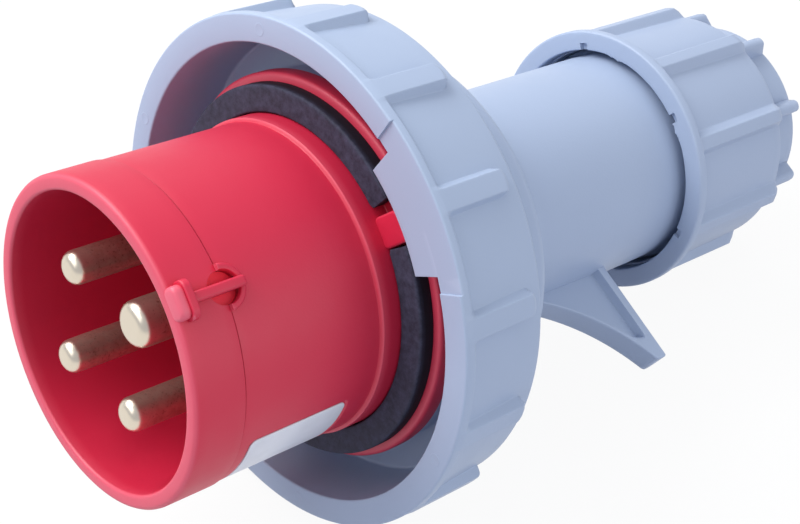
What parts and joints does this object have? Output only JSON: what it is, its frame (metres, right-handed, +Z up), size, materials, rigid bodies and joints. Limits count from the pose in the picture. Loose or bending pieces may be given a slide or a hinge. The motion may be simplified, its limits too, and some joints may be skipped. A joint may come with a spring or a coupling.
{
  "type": "industrial pin and sleeve plug",
  "caption": "Red and grey watertight four-pin plug (32 A size) with a turning locking ring, finger fin and cable gland nut, lying at rest.",
  "frame": {"origin": "bottom centre of the box round the plug as it lies, on the surface under it", "axes": "+X along the plug from the pins to the cable end, level (the plug's own axis slopes down 11.5 degrees towards +X); +Z up; the finger fin and the key are on the -Y side"},
  "size_m": [0.1728, 0.0958, 0.0961],
  "materials": {
    "red_plastic": "satin",
    "grey_plastic": "satin",
    "black_rubber": "matte",
    "brass": "brushed",
    "zinc_steel": "plated",
    "dark_plastic": "matte",
    "white_film": "satin"
  },
  "bodies": {
    "plug_body": {"pin_carrier": "red_plastic", "phase_pin_1": "brass", "phase_pin_2": "brass", "phase_pin_3": "brass", "earth_pin": "brass", "phase_screw_1": "zinc_steel", "phase_screw_2": "zinc_steel", "phase_screw_3": "zinc_steel", "earth_screw": "zinc_steel", "retainer_plate": "dark_plastic", "retainer_screws": "zinc_steel", "flange_gasket": "black_rubber", "housing_seal": "black_rubber", "rear_housing": "grey_plastic", "rating_label": "white_film"},
    "coupling_ring": {"locking_ring": "grey_plastic"},
    "gland_follower": {"clamp_claw": "dark_plastic", "cable_grommet": "black_rubber", "slip_washer": "dark_plastic"},
    "nut_body": {"gland_nut": "grey_plastic"}
  },
  "joints": [
    {"name": "ring_turn", "type": "hinge", "parent": "plug_body", "child": "coupling_ring", "pos_m": [-0.02712, 0, 0.04618], "axis": [0.9801, 0, -0.1984], "continuous": true},
    {"name": "gland_slide", "type": "slide", "parent": "plug_body", "child": "gland_follower", "axis": [0.9801, 0, -0.1984], "range_m": [-0.004, 0.008]},
    {"name": "gland_nut_turn", "type": "hinge", "parent": "gland_follower", "child": "nut_body", "pos_m": [0.07217, 0, 0.02609], "axis": [0.9801, 0, -0.1984], "range_deg": [-480, 960]}
  ],
  "couplings": [
    {"joint": "gland_nut_turn", "follows": "gland_slide", "rad_per_m": 2094.4}
  ]
}
